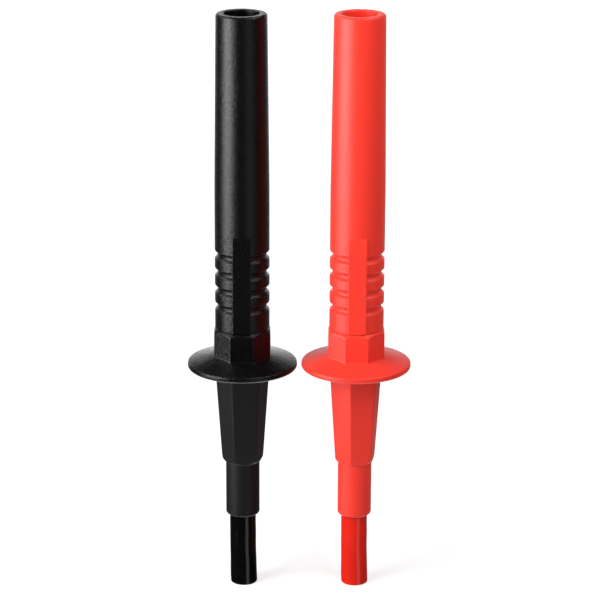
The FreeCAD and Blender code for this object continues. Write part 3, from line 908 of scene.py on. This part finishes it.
@dataclass(frozen=True)
class SoftVinyl:
    """Dipped vinyl sleeve: glossy, slightly wavy and a little see-through under its skin."""

    slot: str
    colour: Colour
    deep: Colour
    roughness: float
    glow: float
    glow_depth: float = 0.0012
    glow_reach: Colour = (1.0, 0.2, 0.1)
    gloss_index: float = 1.42
    drift: Noise = Noise(180.0, 3.0, 0.5, (1.0, 1.0, 0.5))
    drift_span: Span = (0.35, 0.7)
    dust: Noise = Noise(2400.0, 3.0, 0.65)
    dust_span: Span = (0.5, 0.8)
    dust_roughness: float = 0.16
    dust_share: float = 0.06
    wave: Noise = Noise(330.0, 1.0, 0.5, (1.0, 1.0, 0.35))
    wave_depth: float = 0.00007

    def make(self) -> bpy.types.Material:
        """Slow colour drift, long shallow waves in the skin, and dull patches from handling.

        Returns:
            The material.
        """
        material, graph = new_material(self.slot)
        drift, dust = graph.noise(self.drift), graph.noise(self.dust)
        skin = graph.noise(self.wave) + dust * self.dust_share
        close_material(graph, {
            "Base Color": graph.blend(drift.step(*self.drift_span), self.colour, self.deep),
            "Roughness": self.roughness + dust.step(*self.dust_span) * self.dust_roughness,
            "IOR": self.gloss_index,
            "Subsurface Weight": self.glow,
            "Subsurface Radius": self.glow_reach,
            "Subsurface Scale": self.glow_depth,
            "Normal": graph.bump(skin, self.wave_depth),
        })
        return material


@dataclass(frozen=True)
class BareMetal:
    """Turned, drawn or plated metal, with marks that run round the axis or along it."""

    metal: Metal
    colour: Colour
    tarnish: Colour
    roughness: float
    ring_scale: float
    mark_depth: float
    ring_detail: float = 2.0
    ring_axes: Sequence[float] = (0.02, 0.02, 1.0)
    ring_gloss: float = 0.14
    patches: Noise = Noise(500.0, 4.0, 0.6)
    tarnish_span: Span = (0.45, 0.75)
    dull_span: Span = (0.4, 0.8)
    dull_roughness: float = 0.08

    @property
    def slot(self) -> str:
        """The metal's slot name."""
        return self.metal.value

    def make(self) -> bpy.types.Material:
        """Tool marks as noise stretched round the axis, and tarnish in slow patches.

        Returns:
            The material.
        """
        material, graph = new_material(self.slot)
        rings = graph.noise(Noise(self.ring_scale, self.ring_detail, axes=self.ring_axes))
        patches = graph.noise(self.patches)
        rough = self.roughness + (rings - NOISE_MIDDLE) * self.ring_gloss
        close_material(graph, {
            "Base Color": graph.blend(patches.step(*self.tarnish_span), self.colour, self.tarnish),
            "Metallic": 1.0,
            "Roughness": rough + patches.step(*self.dull_span) * self.dull_roughness,
            "Normal": graph.bump(rings, self.mark_depth),
        })
        return material


@dataclass(frozen=True)
class TubeGlass:
    """Clear glass of the fuse's tube."""

    slot: str = "fuse_glass"
    tint: Colour = (0.95, 0.98, 0.97)
    roughness: float = 0.02
    gloss_index: float = 1.47
    streaks: Noise = Noise(900.0, 2.0, 0.5, (1.0, 1.0, 0.05))
    streak_depth: float = 0.000004

    def make(self) -> bpy.types.Material:
        """Clear glass with faint drawn streaks in its skin.

        Returns:
            The material.
        """
        material, graph = new_material(self.slot)
        close_material(graph, {
            "Base Color": (*self.tint, 1.0),
            "Roughness": self.roughness,
            "IOR": self.gloss_index,
            "Transmission Weight": 1.0,
            "Normal": graph.bump(graph.noise(self.streaks), self.streak_depth),
        })
        return material


def make_finishes() -> dict[str, bpy.types.Material]:
    """Make every finish of the pair.

    Returns:
        The materials by the record's slot names.
    """
    finishes = [
        MouldedPlastic("black_plastic", (0.0012, 0.0012, 0.0013), (0.0016, 0.00155, 0.00165), 0.28, 0.48,
                       0.00009, 1.32),
        MouldedPlastic("red_plastic", (0.84, 0.033, 0.016), (0.825, 0.032, 0.016), 0.45, 0.46,
                       0.00008, 1.37, 0.1),
        SoftVinyl("black_vinyl", (0.0015, 0.0015, 0.0016), (0.0024, 0.0023, 0.0023), 0.16, 0.0),
        SoftVinyl("red_vinyl", (0.7, 0.018, 0.008), (0.62, 0.014, 0.007), 0.17, 0.12),
        TubeGlass(),
        BareMetal(Metal.BRASS, (0.8, 0.58, 0.27), (0.62, 0.42, 0.18), 0.26, 9000.0, 0.000012),
        BareMetal(Metal.NICKEL, (0.72, 0.7, 0.66), (0.6, 0.57, 0.52), 0.18, 6000.0, 0.000006),
        BareMetal(Metal.SPRING, (0.5, 0.49, 0.48), (0.34, 0.32, 0.3), 0.3, 7000.0, 0.00001),
        BareMetal(Metal.STAINLESS, (0.63, 0.62, 0.61), (0.55, 0.54, 0.53), 0.2, 12000.0, 0.000006),
        BareMetal(Metal.WIRE, (0.6, 0.58, 0.55), (0.45, 0.43, 0.4), 0.35, 9000.0, 0.000004),
    ]
    return {finish.slot: finish.make() for finish in finishes}


# Probes


# How far each nose is turned from having a corner at the front, in degrees.
NOSE_TURNS = {Side.BLACK: -22.0, Side.RED: -13.0}

# The finishes of the nodes that keep their shape.
KEPT_NODES = {
    "socket": Metal.BRASS.value, "socket_nut": Metal.BRASS.value, "front_contact": Metal.BRASS.value,
    "fuse_front_end": Metal.NICKEL.value, "fuse_rear_end": Metal.NICKEL.value,
    "needle": Metal.STAINLESS.value, "fuse_wire": Metal.WIRE.value, "fuse_glass": "fuse_glass",
}


@dataclass
class Probe:
    """One probe: its modelled pieces and the nodes that keep their shape."""

    side: Side
    finishes: dict[str, bpy.types.Material]
    axis: float = field(init=False)

    def __post_init__(self) -> None:
        """Read the probe's own axis from its socket's node."""
        low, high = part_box(self.side.node("socket"))
        self.axis = (low.x + high.x) / 2 / MM

    def add(self, piece: str, body: str, surface: Surface, slot: str) -> None:
        """Make a surface stand for one node of this probe.

        Args:
            piece: The node's name without the side.
            body: The body that the piece moves with.
            surface: Its shape about its own axis.
            slot: The finish's slot name.
        """
        surface.points[..., 0] += self.axis
        made = make_piece(f"{self.side.value}_{piece}_shell", surface)
        made.data.materials.append(self.finishes[slot])
        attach(made, body)
        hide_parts(self.side.node(piece))

    def dress(self, node: bpy.types.Object, slot: str) -> None:
        """Give a node that keeps its shape its finish.

        Args:
            node: The node's object.
            slot: The finish's slot name.
        """
        if not node.material_slots:
            node.data.materials.append(None)
        for held in node.material_slots:
            held.material = self.finishes[slot]
        LOG.info("%s: finished as %s", node.name, slot)

    def build(self, nodes: dict[str, bpy.types.Object]) -> None:
        """Model and finish all the pieces of this probe.

        Args:
            nodes: The frame's objects by name.
        """
        name = self.side.value
        plastic, vinyl = f"{name}_plastic", f"{name}_vinyl"
        self.add("handle", "handles", Handle().surface(), plastic)
        self.add("finger_guard", "handles", FingerGuard().surface(), plastic)
        self.add("contact_spring", "handles", ContactSpring().surface(), Metal.SPRING.value)
        self.add("nose", f"{name}_nose", Nose(NOSE_TURNS[self.side]).surface(), plastic)
        self.add("tip_cap", f"{name}_cap", TipCap().surface(), vinyl)
        for piece, slot in KEPT_NODES.items():
            self.dress(nodes[self.side.node(piece)], slot)


# Studio


@dataclass(frozen=True)
class Camera:
    """The photograph's camera, found from the ellipses of the rim, the disc and the cap."""

    lens: float = 143.46
    sensor: float = 36.0
    back: float = 543.2
    above: float = 247.4
    beside: float = 0.12
    pitch_degrees: float = 17.8
    roll_degrees: float = 0.27
    clip_metres: Span = (0.01, 20.0)

    def build(self) -> None:
        """Place the camera in front, looking along Y and down."""
        data = bpy.data.cameras.new("camera")
        data.lens, data.sensor_width = self.lens, self.sensor
        data.clip_start, data.clip_end = self.clip_metres
        camera = bpy.data.objects.new("camera", data)
        camera.location = Vector((self.beside, -self.back, self.above)) * MM
        pitch = Matrix.Rotation(math.radians(90 - self.pitch_degrees), 3, "X")
        roll = Matrix.Rotation(math.radians(self.roll_degrees), 3, "Z")
        camera.rotation_euler = (pitch @ roll).to_euler()
        bpy.context.scene.collection.objects.link(camera)
        bpy.context.scene.camera = camera


@dataclass(frozen=True)
class Softbox:
    """A rectangular lamp that stands round the pair and faces it.

    Args:
        name: Name of the lamp.
        azimuth: Degrees from the front, to the left where negative.
        elevation: Degrees above the pair's middle.
        distance: Millimetres from the pair's middle.
        size: Width and height in millimetres.
        radiance: Brightness of its face, where one renders as white.
        lights: Whether matt surfaces see it.
        mirrors: Whether glossy surfaces see it.
        middle: Height of the point that it faces, in millimetres.
    """

    name: str
    azimuth: float
    elevation: float
    distance: float
    size: tuple[float, float]
    radiance: float
    lights: bool = True
    mirrors: bool = True
    middle: float = 75.0

    def build(self) -> None:
        """Place the lamp; its power is its radiance times pi times its area."""
        width, height = (side * MM for side in self.size)
        data = bpy.data.lights.new(self.name, "AREA")
        data.shape, data.size, data.size_y = "RECTANGLE", width, height
        data.energy = self.radiance * math.pi * width * height
        lamp = bpy.data.objects.new(self.name, data)
        turn, rise = math.radians(self.azimuth), math.radians(self.elevation)
        aim = Vector((math.sin(turn) * math.cos(rise), -math.cos(turn) * math.cos(rise), math.sin(rise)))
        lamp.location = Vector((0.0, 0.0, self.middle * MM)) + aim * self.distance * MM
        lamp.rotation_euler = aim.to_track_quat("Z", "Y").to_euler()
        lamp.visible_diffuse, lamp.visible_glossy = self.lights, self.mirrors
        lamp.visible_camera = False
        bpy.context.scene.collection.objects.link(lamp)


@dataclass(frozen=True)
class Studio:
    """Pale floor, plain surroundings and soft lamps.

    The surroundings that glossy surfaces see are patches by direction. Each has a brightness
    (gloss) and fades in over spans of the direction's components: rise or drop, which is up or
    down, and back, which is away from the camera.
    """

    floor_reach: float = 3000.0
    floor_colour: Colour = (0.5, 0.5, 0.5)
    floor_lift: float = 0.6
    far_lift: float = 0.95
    lift_span: Span = (0.05, 0.5)
    ambient: float = 0.33
    front_gloss: float = 0.004
    horizon_gloss: float = 0.3
    horizon_rise: float = -0.05
    horizon_span: Span = (0.0, 0.18)
    horizon_back: Span = (0.15, 0.9)
    far_gloss: float = 1.9
    far_rise: float = -0.02
    far_span: Span = (0.01, 0.08)
    far_back: Span = (0.8, 0.98)
    top_gloss: float = 0.36
    top_rise: Span = (0.75, 0.95)
    top_back: Span = (-0.1, 0.5)
    ground_gloss: float = 1.25
    ground_drop: Span = (0.55, 0.9)
    rear_ground_gloss: float = 2.5
    rear_ground_drop: Span = (0.48, 0.72)
    rear_ground_back: Span = (0.3, 0.8)
    below_gloss: float = 4.5
    below_drop: Span = (0.86, 0.94)
    below_back: Span = (-0.15, 0.05)
    strip_gloss: float = 1.15
    strip_azimuth: float = 37.0
    strip_degrees: Span = (15.0, 8.0)
    lamps: tuple[Softbox, ...] = (
        Softbox("key", -62.0, 22.0, 480.0, (360.0, 360.0), 8.6, mirrors=False),
        Softbox("fill", 45.0, 38.0, 260.0, (200.0, 200.0), 4.3, mirrors=False, middle=150.0),
        Softbox("left_box", -62.5, -6.5, 300.0, (135.0, 280.0), 19.0, lights=False, middle=174.0),
        Softbox("left_top", -107.0, 48.0, 300.0, (140.0, 90.0), 9.0, lights=False, middle=90.0),
        Softbox("right_top", 84.0, 59.0, 300.0, (85.0, 85.0), 18.0, lights=False, middle=90.0),
    )

    def build(self) -> None:
        """Make the floor, the surroundings and the lamps."""
        self.build_floor()
        self.build_world()
        for lamp in self.lamps:
            lamp.build()

    def build_floor(self) -> None:
        """A flat floor that shows white from above, keeps the soft shadows, and is clear from below."""
        reach = self.floor_reach * MM
        mesh = bpy.data.meshes.new("floor")
        corners = [(-reach, -reach, 0), (reach, -reach, 0), (reach, reach, 0), (-reach, reach, 0)]
        mesh.from_pydata(corners, [], [(0, 1, 2, 3)])
        floor = bpy.data.objects.new("floor", mesh)
        bpy.context.scene.collection.objects.link(floor)
        floor.visible_glossy = False
        material, graph = new_material("floor")
        matt = graph.node("BsdfDiffuse", {}, {"Color": (*self.floor_colour, 1.0)})
        seen = graph.node("LightPath", output="Is Camera Ray")
        reached = graph.node("VectorMath", {"operation": "LENGTH"}, {0: graph.place()}, "Value")
        lift = self.floor_lift + reached.step(*self.lift_span) * (self.far_lift - self.floor_lift)
        glow = graph.node("Emission", {}, {"Color": WHITE, "Strength": seen * lift})
        both = graph.node("AddShader", {}, {0: matt, 1: glow})
        beneath = graph.node("NewGeometry", output="Backfacing")
        clear = graph.node("BsdfTransparent")
        shown = graph.node("MixShader", {}, {0: beneath, 1: both, 2: clear})
        graph.node("OutputMaterial", {}, {"Surface": shown})
        mesh.materials.append(material)

    def build_world(self) -> None:
        """White to the camera, even to matt surfaces, and a plain room to glossy ones.

        The room is dark in front, bright low behind the pair, on the floor and most of all straight
        below, and pale overhead, with one upright strip light at the right of the camera.
        """
        world = bpy.data.worlds.new("studio")
        bpy.context.scene.world = world
        world.use_nodes = True
        world.cycles.sampling_method = "NONE"
        graph = Graph(world.node_tree)
        direction = graph.node("TexCoord", output="Generated")
        split = graph.node("SeparateXYZ", {}, {"Vector": direction})
        axes = split.socket.node.outputs
        x, y, z = (Term(graph, axes[index]) for index in range(3))
        level = (x * x + y * y).power(0.5)
        turn = math.radians(self.strip_azimuth)
        facing = (x * math.sin(turn) - y * math.cos(turn)) / level
        drop = 0 - z
        patches = (
            z.near(self.horizon_rise, self.horizon_span) * y.step(*self.horizon_back) * self.horizon_gloss,
            z.near(self.far_rise, self.far_span) * y.step(*self.far_back) * self.far_gloss,
            z.step(*self.top_rise) * (1 - y.step(*self.top_back)) * self.top_gloss,
            drop.step(*self.ground_drop) * self.ground_gloss,
            drop.step(*self.rear_ground_drop) * y.step(*self.rear_ground_back) * self.rear_ground_gloss,
            drop.step(*self.below_drop) * y.step(*self.below_back) * self.below_gloss,
            facing.step(*(math.cos(math.radians(edge)) for edge in self.strip_degrees)) * self.strip_gloss,
        )
        room = sum(patches, self.front_gloss)
        path = graph.node("LightPath")
        flags = path.socket.node.outputs
        through = Term(graph, flags["Is Transmission Ray"])
        gloss = Term(graph, flags["Is Glossy Ray"]) * (1 - through)
        seen = Term(graph, flags["Is Camera Ray"]) + through
        strength = seen + gloss * room + (1 - seen) * (1 - gloss) * self.ambient
        light = graph.node("Background", {}, {"Color": WHITE, "Strength": strength})
        graph.node("OutputWorld", {}, {"Surface": light})


def main() -> None:
    """Load the frame, build both probes round it and set up the studio."""
    logging.basicConfig(level=logging.INFO, format="%(name)s %(message)s")
    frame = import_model()
    bpy.context.scene.view_settings.view_transform = "Standard"
    Camera().build()
    finishes = make_finishes()
    for side in Side:
        Probe(side, finishes).build(frame["nodes"])
    Studio().build()


if __name__ == "__main__":
    main()
